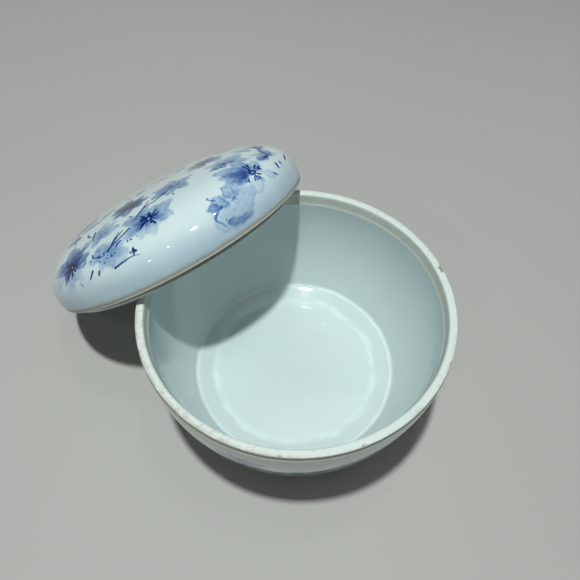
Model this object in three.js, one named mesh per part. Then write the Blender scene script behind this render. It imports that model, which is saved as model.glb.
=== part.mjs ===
// Covered rice bowl: a porcelain bowl on a foot ring, and its loose domed lid, which leans on the
// bowl's rim with its low edge on the table. Millimetres, +Z up, table top at Z = 0.
// The lid leans towards -X. The origin is at the centre of the pair's footprint box.

import * as THREE from "three";

// Bowl
const RIM_RADIUS = 60; // outer radius of the rim
const BOWL_HEIGHT = 58; // table to rim top
const RIM_WIDTH = 3; // flat unglazed top of the rim
const RIM_ROUND = 0.5; // rounding of the rim's two top edges
const BARE_BAND = 2.6; // unglazed band below the rim, outside
const GLAZE_SHOULDER = 0.25; // how far the glazed body stands proud of that band
const SHOULDER_DROP = 1.4; // height of the sloping step between band and body
const REBATE_DEPTH = 4.2; // rim top down to the ledge that takes the lid's flange
const LEDGE_RADIUS = 55.9; // inner edge of the ledge
const LEDGE_ROUND = 0.7;
const WALL_TAPER = 0.00464; // outer wall: the radius shrinks by this times the depth squared
const WALL_END_DEPTH = 49; // depth at which the outer wall turns in to the base
const WELL_SHOULDER_RADIUS = 45.2; // inner wall's lower end, where it turns in to the floor
const WELL_SHOULDER_DEPTH = 45;
const WELL_CORNER_RADIUS = 42.4; // control point of the curve between inner wall and floor
const WELL_CORNER_DEPTH = 50.6;
const FLOOR_RADIUS = 35.3; // flat floor
const FLOOR_DEPTH = 51.6;
const FOOT_RADIUS = 37.4; // outer radius of the foot ring
const FOOT_WIDTH = 3.8;
const FOOT_HEIGHT = 2.8;
const FOOT_ROUND = 0.8;
const BASE_DISH = 0.8; // how far the underside rises from the foot ring to the body's corner

// Lid
const LID_RADIUS = 60; // outer radius of its rim
const LID_SHOULDER_RADIUS = 60.7; // its widest radius, just above the rim
const LID_SHOULDER_HEIGHT = 3.4; // rim plane to that widest place
const LID_RISE = 26.6; // rim plane to the top of the dome
const DOME_POWER = 2.55; // superellipse power of the dome: 2 is an ellipse, more is squarer
const HOLLOW_RADIUS = 55.4;
const HOLLOW_RISE = 22.8;
const HOLLOW_POWER = 2.9;
const LID_EDGE_ROUND = 0.5;
const FLANGE_RADIUS = 56.4; // locating flange, which drops inside the bowl's rim
const FLANGE_WIDTH = 2.2;
const FLANGE_DEPTH = 2.6;

// How the lid leans
const LEAN_DEG = 39.3; // tilt of the lid's rim plane from level
const CONTACT_GAP = 0.3; // clearance kept between the flange and the bowl's rim

// Facets
const SIDES = 64;
const WALL_STEPS = 8;
const CORNER_STEPS = 5;
const ROUND_STEPS = 3;
const DOME_STEPS = 15;

const lean = THREE.MathUtils.degToRad(LEAN_DEG);

// A profile holds radius in x and height in y, from the axis round the section and back to the axis.
function addCurve(profile, curve, steps) {
  const points = curve.getPoints(steps);
  const last = profile[profile.length - 1];
  const joined = last !== undefined && last.distanceTo(points[0]) < 1e-6;
  profile.push(...(joined ? points.slice(1) : points));
}

function addBend(profile, start, corner, end, steps) {
  const bend = new THREE.QuadraticBezierCurve(
    new THREE.Vector2(...start),
    new THREE.Vector2(...corner),
    new THREE.Vector2(...end),
  );
  addCurve(profile, bend, steps);
}

// Quarter superellipse, widest at the height base. It starts at firstHeight and ends on the axis,
// at the height top.
function superellipse(radius, base, top, power, firstHeight) {
  const points = [];
  const rise = top - base;
  const firstAngle = Math.asin(((firstHeight - base) / rise) ** (power / 2));
  for (let i = 0; i <= DOME_STEPS; i += 1) {
    const angle = firstAngle + ((Math.PI / 2 - firstAngle) * i) / DOME_STEPS;
    const across = i === DOME_STEPS ? 0 : Math.cos(angle) ** (2 / power);
    points.push(new THREE.Vector2(radius * across, base + rise * Math.sin(angle) ** (2 / power)));
  }
  return points;
}

function outerWallRadius(depth) {
  return RIM_RADIUS + GLAZE_SHOULDER - WALL_TAPER * depth * depth;
}

// The parabolas of the walls are exact quadratic curves, with the corner half-way down in depth.
function bowlProfile() {
  const height = (depth) => BOWL_HEIGHT - depth;
  const footInner = FOOT_RADIUS - FOOT_WIDTH;
  const rimInner = RIM_RADIUS - RIM_WIDTH;
  const shoulderDepth = BARE_BAND + SHOULDER_DROP;
  const wallMiddle = (shoulderDepth + WALL_END_DEPTH) / 2;
  const wallMiddleRadius =
    outerWallRadius(shoulderDepth) - 2 * WALL_TAPER * shoulderDepth * (wallMiddle - shoulderDepth);
  const wellTop = REBATE_DEPTH + LEDGE_ROUND;
  const wellMiddle = (wellTop + WELL_SHOULDER_DEPTH) / 2;
  const baseZ = FOOT_HEIGHT + BASE_DISH;

  const profile = [new THREE.Vector2(0, FOOT_HEIGHT)];
  profile.push(new THREE.Vector2(footInner - FOOT_ROUND, FOOT_HEIGHT));
  addBend(
    profile,
    [footInner, FOOT_HEIGHT - FOOT_ROUND],
    [footInner, 0],
    [footInner + FOOT_ROUND, 0],
    ROUND_STEPS,
  );
  addBend(
    profile,
    [FOOT_RADIUS - FOOT_ROUND, 0],
    [FOOT_RADIUS, 0],
    [FOOT_RADIUS, FOOT_ROUND],
    ROUND_STEPS,
  );
  profile.push(new THREE.Vector2(FOOT_RADIUS + FOOT_ROUND / 2, FOOT_HEIGHT));
  addBend(
    profile,
    [FOOT_RADIUS + 2 * FOOT_ROUND, baseZ],
    [outerWallRadius(WALL_END_DEPTH) - 2 * FOOT_ROUND, baseZ + FOOT_ROUND],
    [outerWallRadius(WALL_END_DEPTH), height(WALL_END_DEPTH)],
    CORNER_STEPS,
  );
  addBend(
    profile,
    [outerWallRadius(WALL_END_DEPTH), height(WALL_END_DEPTH)],
    [wallMiddleRadius, height(wallMiddle)],
    [outerWallRadius(shoulderDepth), height(shoulderDepth)],
    WALL_STEPS,
  );
  profile.push(new THREE.Vector2(RIM_RADIUS, height(BARE_BAND)));
  addBend(
    profile,
    [RIM_RADIUS, height(RIM_ROUND)],
    [RIM_RADIUS, height(0)],
    [RIM_RADIUS - RIM_ROUND, height(0)],
    ROUND_STEPS,
  );
  addBend(
    profile,
    [rimInner + RIM_ROUND, height(0)],
    [rimInner, height(0)],
    [rimInner, height(RIM_ROUND)],
    ROUND_STEPS,
  );
  profile.push(new THREE.Vector2(rimInner, height(REBATE_DEPTH)));
  profile.push(new THREE.Vector2(LEDGE_RADIUS + LEDGE_ROUND / 2, height(REBATE_DEPTH)));
  addBend(
    profile,
    [LEDGE_RADIUS, height(wellTop)],
    [LEDGE_RADIUS, height(wellMiddle)],
    [WELL_SHOULDER_RADIUS, height(WELL_SHOULDER_DEPTH)],
    WALL_STEPS,
  );
  addBend(
    profile,
    [WELL_SHOULDER_RADIUS, height(WELL_SHOULDER_DEPTH)],
    [WELL_CORNER_RADIUS, height(WELL_CORNER_DEPTH)],
    [FLOOR_RADIUS, height(FLOOR_DEPTH)],
    CORNER_STEPS,
  );
  profile.push(new THREE.Vector2(0, height(FLOOR_DEPTH)));
  return profile;
}

// The lid's own frame: rim plane at height 0, dome upwards, flange below.
function lidProfile() {
  const flangeInner = FLANGE_RADIUS - FLANGE_WIDTH;
  const flangeMiddle = FLANGE_RADIUS - FLANGE_WIDTH / 2;
  const roundTop = -FLANGE_DEPTH + FLANGE_WIDTH / 2;
  const hollowStart = 1.5 * FLANGE_WIDTH;

  const hollow = superellipse(HOLLOW_RADIUS, 0, HOLLOW_RISE, HOLLOW_POWER, hollowStart);
  const dome = superellipse(
    LID_SHOULDER_RADIUS,
    LID_SHOULDER_HEIGHT,
    LID_RISE,
    DOME_POWER,
    LID_SHOULDER_HEIGHT,
  );
  const profile = hollow.reverse();
  addBend(
    profile,
    [flangeInner, roundTop],
    [flangeInner, -FLANGE_DEPTH],
    [flangeMiddle, -FLANGE_DEPTH],
    ROUND_STEPS,
  );
  addBend(
    profile,
    [flangeMiddle, -FLANGE_DEPTH],
    [FLANGE_RADIUS, -FLANGE_DEPTH],
    [FLANGE_RADIUS, roundTop],
    ROUND_STEPS,
  );
  profile.push(new THREE.Vector2(FLANGE_RADIUS, 0));
  profile.push(new THREE.Vector2(LID_RADIUS - LID_EDGE_ROUND, 0));
  addBend(
    profile,
    [LID_RADIUS, LID_EDGE_ROUND],
    [LID_SHOULDER_RADIUS, (LID_EDGE_ROUND + LID_SHOULDER_HEIGHT) / 2],
    [LID_SHOULDER_RADIUS, LID_SHOULDER_HEIGHT],
    ROUND_STEPS,
  );
  profile.push(...dome.slice(1));
  return profile;
}

// Lathe round +Z.
function turned(profile) {
  const geometry = new THREE.LatheGeometry(profile, SIDES);
  geometry.rotateX(Math.PI / 2);
  return geometry;
}

// Centre of the leaning lid's rim, as distance from the bowl's axis and height over the table.
// Its lowest point stands on the table. The middle of the rounding inside the flange's lower edge,
// a circle in a plane tilted by the lean, crosses the height of the bowl's rim just outside it.
function leaningLid(profile) {
  const lowest = Math.min(...profile.map((p) => p.y * Math.cos(lean) - p.x * Math.sin(lean)));
  const centreHeight = -lowest;
  const edgeRadius = FLANGE_RADIUS - (7 / 8) * FLANGE_WIDTH;
  const edgeDrop = FLANGE_DEPTH - FLANGE_WIDTH / 8;
  const edgeHeight = centreHeight - edgeDrop * Math.cos(lean);
  const upSlope = (BOWL_HEIGHT - edgeHeight) / Math.sin(lean);
  const sideways = Math.sqrt(edgeRadius ** 2 - upSlope ** 2);
  const contactX = Math.sqrt((RIM_RADIUS + CONTACT_GAP) ** 2 - sideways ** 2);
  const distance = contactX + edgeDrop * Math.sin(lean) + upSlope * Math.cos(lean);
  const overhang = Math.max(...profile.map((p) => p.x * Math.cos(lean) + p.y * Math.sin(lean)));
  return { distance, centreHeight, reach: distance + overhang };
}

const bowlSection = bowlProfile();
const lidSection = lidProfile();
const lidPlace = leaningLid(lidSection);
const bowlRadius = Math.max(...bowlSection.map((p) => p.x));
const bowlX = (lidPlace.reach - bowlRadius) / 2;

// Pale celadon porcelain, glazed and glossy.
const bowl = new THREE.Mesh(
  turned(bowlSection),
  new THREE.MeshStandardMaterial({ color: 0xcfdcdb, roughness: 0.12, metalness: 0 }),
);
bowl.name = "bowl";
bowl.position.x = bowlX;

// Bluish white porcelain, glazed and glossy.
const lid = new THREE.Mesh(
  turned(lidSection),
  new THREE.MeshStandardMaterial({ color: 0xd5dde2, roughness: 0.1, metalness: 0 }),
);
lid.name = "lid";

const leaning = new THREE.Group();
leaning.rotation.y = -lean;
leaning.position.set(bowlX - lidPlace.distance, 0, lidPlace.centreHeight);
leaning.add(lid);

const riceBowl = new THREE.Group();
riceBowl.add(bowl, leaning);

export default riceBowl;
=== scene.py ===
# Covered rice bowl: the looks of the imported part. The scene is in metres, +Z up, in the part's frame.
# Each piece is worked out in millimetres in its own frame: the bowl upright with its foot at height 0,
# the lid level with its rim plane at height 0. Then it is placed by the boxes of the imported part.

import math

import bmesh
import bpy
import numpy as np
from mathutils import Matrix, Vector


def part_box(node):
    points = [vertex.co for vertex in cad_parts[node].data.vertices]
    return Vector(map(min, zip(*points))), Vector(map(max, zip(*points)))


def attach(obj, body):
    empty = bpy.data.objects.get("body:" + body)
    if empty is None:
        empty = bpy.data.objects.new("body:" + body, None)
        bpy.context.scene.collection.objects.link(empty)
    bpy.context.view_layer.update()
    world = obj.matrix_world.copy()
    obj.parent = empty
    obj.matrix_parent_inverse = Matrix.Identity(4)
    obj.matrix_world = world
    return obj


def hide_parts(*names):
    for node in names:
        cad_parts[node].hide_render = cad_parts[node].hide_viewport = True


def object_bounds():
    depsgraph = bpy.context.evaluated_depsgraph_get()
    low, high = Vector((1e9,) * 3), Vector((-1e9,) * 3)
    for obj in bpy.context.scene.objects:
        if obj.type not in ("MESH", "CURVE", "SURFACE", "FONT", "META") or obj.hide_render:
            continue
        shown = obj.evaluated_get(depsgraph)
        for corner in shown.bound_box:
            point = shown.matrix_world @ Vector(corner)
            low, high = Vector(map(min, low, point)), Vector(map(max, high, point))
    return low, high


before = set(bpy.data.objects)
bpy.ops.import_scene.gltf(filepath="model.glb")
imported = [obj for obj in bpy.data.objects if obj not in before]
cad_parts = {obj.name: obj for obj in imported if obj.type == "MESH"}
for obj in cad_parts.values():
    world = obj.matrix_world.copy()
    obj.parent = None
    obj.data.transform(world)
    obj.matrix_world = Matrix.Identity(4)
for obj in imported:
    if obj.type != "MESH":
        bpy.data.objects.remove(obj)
cad_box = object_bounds()

MM = 0.001
FULL_TURN = 2 * math.pi
scene = bpy.context.scene
scene.view_settings.view_transform = "Standard"

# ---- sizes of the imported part, in mm

RIM_RADIUS = 60
BOWL_HEIGHT = 58
RIM_WIDTH = 3
RIM_ROUND = 0.5
BARE_BAND = 2.6
GLAZE_SHOULDER = 0.25
SHOULDER_DROP = 1.4
REBATE_DEPTH = 4.2
LEDGE_RADIUS = 55.9
LEDGE_ROUND = 0.7
WALL_TAPER = 0.00464
WALL_END_DEPTH = 49
WELL_SHOULDER = (45.2, 45)  # radius, and depth below the rim, as for all points of the well
FOOT_RADIUS = 37.4
FOOT_WIDTH = 3.8
FOOT_HEIGHT = 2.8
FOOT_ROUND = 0.8
BASE_DISH = 0.8

LID_RADIUS = 60
LID_SHOULDER_RADIUS = 60.7
LID_SHOULDER_HEIGHT = 3.4
LID_RISE = 26.6
DOME_POWER = 2.55
HOLLOW_RADIUS = 55.4
HOLLOW_RISE = 22.8
HOLLOW_POWER = 2.9
LID_EDGE_ROUND = 0.5
FLANGE_RADIUS = 56.4
FLANGE_WIDTH = 2.2
FLANGE_DEPTH = 2.6
LEAN = math.radians(39.3)

# ---- finer shapes of the visual model, in mm
# The rim's inner corner is rounded by wear, and the rebate's step is a short slope. The well has a
# tight corner, and its floor rises a little towards its middle.

RIM_WORN_ROUND = 0.9
REBATE_DRAFT = 0.1
GLAZE_LIP = 0.2
LEDGE_SLANT = 0.55
LEDGE_FALL = 0.35
WELL_WALL_END = (44.35, 46.6)
WELL_CORNER = (43.6, 48)
WELL_CORNER_END = (42.5, 48.5)
FLOOR_SLOPE_END = (37, 50.5)
FLOOR_EDGE = (35.8, 50.95)
FLOOR_DOME_RADIUS = 34.5
FLOOR_DOME_RISE = 0.95

# ---- where the two pieces stand


def bowl_place():
    """The matrix from the bowl's own millimetres to the scene."""
    low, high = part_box("bowl")
    centre = Vector(((low.x + high.x) / 2, (low.y + high.y) / 2, low.z))
    return Matrix.Translation(centre) @ Matrix.Scale(MM, 4)


def lid_place(section):
    """The same for the lid: its outline, tilted by the lean, touches the low sides of its box."""
    low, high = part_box("lid")
    sine, cosine = math.sin(LEAN), math.cos(LEAN)
    radii, heights = section.points.T
    overhang = max(radii * cosine + heights * sine)
    lowest = min(heights * cosine - radii * sine)
    centre = Vector((low.x + overhang * MM, (low.y + high.y) / 2, low.z - lowest * MM))
    return Matrix.Translation(centre) @ Matrix.Rotation(-LEAN, 4, "Y") @ Matrix.Scale(MM, 4)


# ---- camera

CAMERA_AZIMUTH = math.radians(-47.6)
CAMERA_ELEVATION = math.radians(54.75)
CAMERA_DISTANCE = 0.2018  # from the centre of the bowl's rim
CAMERA_AIM = Vector((-0.0051, 0.0017, 0))  # where it looks, from the same centre
CAMERA_ROLL = math.radians(0.956)
CAMERA_LENS = 33.27


def direction(azimuth, elevation):
    level = math.cos(elevation)
    return Vector((level * math.cos(azimuth), level * math.sin(azimuth), math.sin(elevation)))


def make_camera():
    rim_centre = bowl_place() @ Vector((0, 0, BOWL_HEIGHT))
    place = rim_centre + direction(CAMERA_AZIMUTH, CAMERA_ELEVATION) * CAMERA_DISTANCE
    look = rim_centre + CAMERA_AIM - place
    camera = bpy.data.objects.new("camera", bpy.data.cameras.new("camera"))
    camera.data.lens = CAMERA_LENS
    camera.data.sensor_width = 36
    camera.data.clip_start = 0.01
    turn = look.to_track_quat("-Z", "Y").to_matrix() @ Matrix.Rotation(CAMERA_ROLL, 3, "Z")
    camera.matrix_world = Matrix.Translation(place) @ turn.to_4x4()
    scene.collection.objects.link(camera)
    scene.camera = camera


make_camera()

# ---- cross-sections

FINE = 8  # points of the outline for each ring of vertices


class Section:
    """Half a cross-section: (radius, height) points from the axis, round the body, and back to it."""

    def __init__(self, radius, height):
        self.points = np.array([(radius, height)], float)
        self.rings = [0]
        self.marks = {}

    def stretch(self, curve, rings):
        """Adds the points of a curve, evenly spaced, with that many rings of vertices on it."""
        gaps = np.hypot(*np.diff(curve, axis=0).T)
        along = np.concatenate([[0], np.cumsum(gaps)])
        even = np.linspace(0, along[-1], rings * FINE + 1)[1:]
        points = np.column_stack([np.interp(even, along, curve[:, k]) for k in (0, 1)])
        first = len(self.points) - 1
        self.points = np.vstack([self.points, points])
        self.rings += [first + FINE * (k + 1) for k in range(rings)]

    def line(self, radius, height, rings):
        self.stretch(np.array([self.points[-1], (radius, height)]), rings)

    def bend(self, corner, end, rings):
        start, corner, end = self.points[-1], np.array(corner), np.array(end)
        t = np.linspace(0, 1, 200)[:, None]
        self.stretch((1 - t) ** 2 * start + 2 * t * (1 - t) * corner + t**2 * end, rings)

    def along(self):
        """The length along the outline up to each point."""
        gaps = np.hypot(*np.diff(self.points, axis=0).T)
        return np.concatenate([[0], np.cumsum(gaps)])

    def mark(self, name):
        self.marks[name] = float(self.along()[-1])


def superellipse(radius, base, top, power, first_height):
    """A quarter of a superellipse, from first_height, near its widest place, up to the axis."""
    rise = top - base
    first = math.asin(((first_height - base) / rise) ** (power / 2))
    angle = np.linspace(first, math.pi / 2, 2000)
    across = radius * np.clip(np.cos(angle), 0, 1) ** (2 / power)
    across[-1] = 0
    return np.column_stack([across, base + rise * np.sin(angle) ** (2 / power)])


def outer_wall_radius(depth):
    return RIM_RADIUS + GLAZE_SHOULDER - WALL_TAPER * depth**2


def bowl_section():
    foot_inner = FOOT_RADIUS - FOOT_WIDTH
    rim_inner = RIM_RADIUS - RIM_WIDTH
    top = BOWL_HEIGHT
    shoulder = BARE_BAND + SHOULDER_DROP
    wall_middle = (shoulder + WALL_END_DEPTH) / 2
    lean_in = 2 * WALL_TAPER * shoulder * (wall_middle - shoulder)
    wall_end = outer_wall_radius(WALL_END_DEPTH)
    ledge_top = LEDGE_RADIUS + LEDGE_SLANT
    well_top = REBATE_DEPTH + LEDGE_ROUND + 2 * LEDGE_FALL
    well_middle = (well_top + WELL_SHOULDER[1]) / 2
    base = FOOT_HEIGHT + BASE_DISH
    dome_edge = top - FLOOR_EDGE[1]
    dome_middle = dome_edge + FLOOR_DOME_RISE

    def well(point):
        return point[0], top - point[1]

    s = Section(0, FOOT_HEIGHT)
    s.line(foot_inner - FOOT_ROUND, FOOT_HEIGHT, 12)
    s.bend((foot_inner, FOOT_HEIGHT), (foot_inner, FOOT_HEIGHT - FOOT_ROUND), 4)
    s.mark("foot inside")
    s.line(foot_inner, FOOT_ROUND, 2)
    s.bend((foot_inner, 0), (foot_inner + FOOT_ROUND, 0), 4)
    s.line(FOOT_RADIUS - FOOT_ROUND, 0, 3)
    s.bend((FOOT_RADIUS, 0), (FOOT_RADIUS, FOOT_ROUND), 4)
    s.mark("foot outside")
    s.line(FOOT_RADIUS + FOOT_ROUND / 2, FOOT_HEIGHT, 3)
    s.bend((FOOT_RADIUS + FOOT_ROUND / 2, base), (FOOT_RADIUS + 2 * FOOT_ROUND, base), 3)
    s.bend((wall_end - 2 * FOOT_ROUND, base + FOOT_ROUND), (wall_end, top - WALL_END_DEPTH), 9)
    s.mark("wall bottom")
    wall_top = outer_wall_radius(shoulder)
    s.bend((wall_top - lean_in, top - wall_middle), (wall_top, top - shoulder), 44)
    s.mark("shoulder")
    glaze_corner = (RIM_RADIUS + GLAZE_SHOULDER, top - BARE_BAND - GLAZE_LIP)
    s.bend(glaze_corner, (RIM_RADIUS, top - BARE_BAND), 5)
    s.mark("band bottom")
    s.line(RIM_RADIUS, top - RIM_ROUND, 4)
    s.mark("rim outside")
    s.bend((RIM_RADIUS, top), (RIM_RADIUS - RIM_ROUND, top), 4)
    s.line(rim_inner + RIM_WORN_ROUND, top, 5)
    s.bend((rim_inner, top), (rim_inner - REBATE_DRAFT, top - RIM_WORN_ROUND), 5)
    s.mark("rim inside")
    s.line(ledge_top, top - REBATE_DEPTH + LEDGE_ROUND, 5)
    ledge_middle = ((ledge_top + LEDGE_RADIUS) / 2, top - REBATE_DEPTH - LEDGE_FALL)
    s.bend((ledge_top - REBATE_DRAFT, top - REBATE_DEPTH), ledge_middle, 3)
    s.mark("ledge")
    s.bend((LEDGE_RADIUS, top - REBATE_DEPTH - 2 * LEDGE_FALL), (LEDGE_RADIUS, top - well_top), 4)
    s.bend((LEDGE_RADIUS, top - well_middle), well(WELL_SHOULDER), 36)
    s.mark("well wall")
    s.line(*well(WELL_WALL_END), 1)
    s.bend(well(WELL_CORNER), well(WELL_CORNER_END), 9)
    s.mark("well corner")
    s.line(*well(FLOOR_SLOPE_END), 4)
    s.bend(well(FLOOR_EDGE), (FLOOR_DOME_RADIUS, dome_edge), 4)
    s.mark("floor")
    s.bend((FLOOR_DOME_RADIUS / 2, dome_middle), (0, dome_middle), 30)
    return s


def lid_section():
    flange_inner = FLANGE_RADIUS - FLANGE_WIDTH
    flange_middle = FLANGE_RADIUS - FLANGE_WIDTH / 2
    round_top = FLANGE_WIDTH / 2 - FLANGE_DEPTH
    hollow_start = 1.5 * FLANGE_WIDTH

    hollow = superellipse(HOLLOW_RADIUS, 0, HOLLOW_RISE, HOLLOW_POWER, hollow_start)[::-1]
    s = Section(*hollow[0])
    s.stretch(hollow, 40)
    s.bend((HOLLOW_RADIUS, hollow_start / 2), (flange_inner, round_top), 6)
    s.bend((flange_inner, -FLANGE_DEPTH), (flange_middle, -FLANGE_DEPTH), 5)
    s.bend((FLANGE_RADIUS, -FLANGE_DEPTH), (FLANGE_RADIUS, round_top), 5)
    s.mark("flange outside")
    s.line(FLANGE_RADIUS, -LID_EDGE_ROUND / 2, 2)
    s.bend((FLANGE_RADIUS, 0), (FLANGE_RADIUS + LID_EDGE_ROUND / 2, 0), 2)
    s.line(LID_RADIUS - LID_EDGE_ROUND, 0, 4)
    s.bend((LID_RADIUS, 0), (LID_RADIUS, LID_EDGE_ROUND), 4)
    s.mark("edge")
    shoulder = (LID_SHOULDER_RADIUS, LID_SHOULDER_HEIGHT)
    s.bend((LID_SHOULDER_RADIUS, (LID_EDGE_ROUND + LID_SHOULDER_HEIGHT) / 2), shoulder, 6)
    s.stretch(superellipse(*shoulder, LID_RISE, DOME_POWER, LID_SHOULDER_HEIGHT), 72)
    s.mark("crown")
    return s


# ---- turned meshes

SIDES = 360
MOST_SPLITS = 2


def wave(places, size, seed):
    """A smooth random-looking field over places (n, k): a sum of sines, mostly from -1 to 1."""
    random = np.random.default_rng(seed)
    sines = 7
    total = np.zeros(len(places))
    for _ in range(sines):
        direction = random.normal(size=places.shape[1])
        direction /= np.linalg.norm(direction) * size * random.uniform(0.6, 1.5)
        total += np.sin(places @ direction * FULL_TURN + random.uniform(0, FULL_TURN))
    return total / sines**0.5 / 1.6


def polar(radius, angle):
    return np.column_stack([radius * np.cos(angle), radius * np.sin(angle)])


def lathe(section):
    """A bmesh of the section turned round its axis, with the length along the section on each vertex."""
    bm = bmesh.new()
    layer = bm.verts.layers.float.new("along")
    along = section.along()[section.rings]
    angles = np.arange(SIDES) * FULL_TURN / SIDES
    rings = []
    for (radius, height), length in zip(section.points[section.rings], along):
        on_axis = radius < 1e-6
        turns = angles[:1] if on_axis else angles
        ring = [bm.verts.new((radius * math.cos(a), radius * math.sin(a), height)) for a in turns]
        for vert in ring:
            vert[layer] = length
        rings.append(ring)
    for inner, outer in zip(rings, rings[1:]):
        for k in range(SIDES):
            after = (k + 1) % SIDES
            if len(inner) == 1:
                bm.faces.new((inner[0], outer[after], outer[k]))
            elif len(outer) == 1:
                bm.faces.new((inner[k], inner[after], outer[0]))
            else:
                bm.faces.new((inner[k], inner[after], outer[after], outer[k]))
    return bm, layer


def vertex_places(bm, layer):
    """Angle round the axis and length along the section, of each vertex."""
    xyz = np.array([v.co for v in bm.verts], float)
    along = np.array([v[layer] for v in bm.verts], float)
    return np.arctan2(xyz[:, 1], xyz[:, 0]), along


def refine(bm, layer, wanted):
    """Splits each face as often as wanted(angle, along) says at its corners."""
    bm.verts.ensure_lookup_table()
    for level in range(1, MOST_SPLITS + 1):
        angle, along = vertex_places(bm, layer)
        keen = wanted(angle, along) >= level
        bm.verts.index_update()
        faces = [f for f in bm.faces if any(keen[v.index] for v in f.verts)]
        edges = list({e for f in faces for e in f.edges})
        bmesh.ops.subdivide_edges(bm, edges=edges, cuts=1, use_grid_fill=True)


def finish_shape(bm, layer, section, relief):
    """Puts each vertex exactly on the turned section, raised along its normal by relief in mm."""
    outline = section.along()
    slope = np.gradient(section.points, outline, axis=0)
    slope /= np.linalg.norm(slope, axis=1)[:, None]
    angle, along = vertex_places(bm, layer)
    radius = np.interp(along, outline, section.points[:, 0])
    height = np.interp(along, outline, section.points[:, 1])
    outward = np.interp(along, outline, slope[:, 1])
    upward = -np.interp(along, outline, slope[:, 0])
    raised = relief(angle, along, radius)
    radius = np.maximum(radius + raised * outward, 0)
    height = height + raised * upward
    places = np.column_stack([polar(radius, angle), height])
    for vert, place in zip(bm.verts, places):
        vert.co = place
    return angle, along, places


def to_object(name, bm, place, fields):
    """The finished piece. fields are the named values of its vertices."""
    mesh = bpy.data.meshes.new(name)
    bm.to_mesh(mesh)
    bm.free()
    mesh.transform(place)
    mesh.shade_smooth()
    for field, values in fields.items():
        values = np.asarray(values, np.float32)
        kind = "FLOAT_VECTOR" if values.ndim == 2 else "FLOAT"
        attribute = mesh.attributes.new(field, kind, "POINT")
        attribute.data.foreach_set("vector" if values.ndim == 2 else "value", values.ravel())
    piece = bpy.data.objects.new(name, mesh)
    scene.collection.objects.link(piece)
    return piece


# ---- brush painting
# A painting lies on a flat sheet in mm. On the lid the sheet is its dome rolled out flat from the
# crown, with +X up the lean. On the bowl it is the outer wall unrolled: X round it, Y below the rim.


BLEND = 2.2  # washes that overlap give less than their sum: 1 would be the sum
PETAL_WIDEST = 0.62  # how far along a petal, as a share of its length
PETAL_END = 0.44  # the length of its round end, as a share of the petal's
POOL_DEPTH, POOL_WIDTH = 0.3, 0.4  # of the darker line of pigment inside a petal's edge
NO_INK = -2.0  # the value of "ink" away from any stroke


def part_way(start, end, share):
    return tuple(a + (b - a) * share for a, b in zip(start, end))


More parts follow.
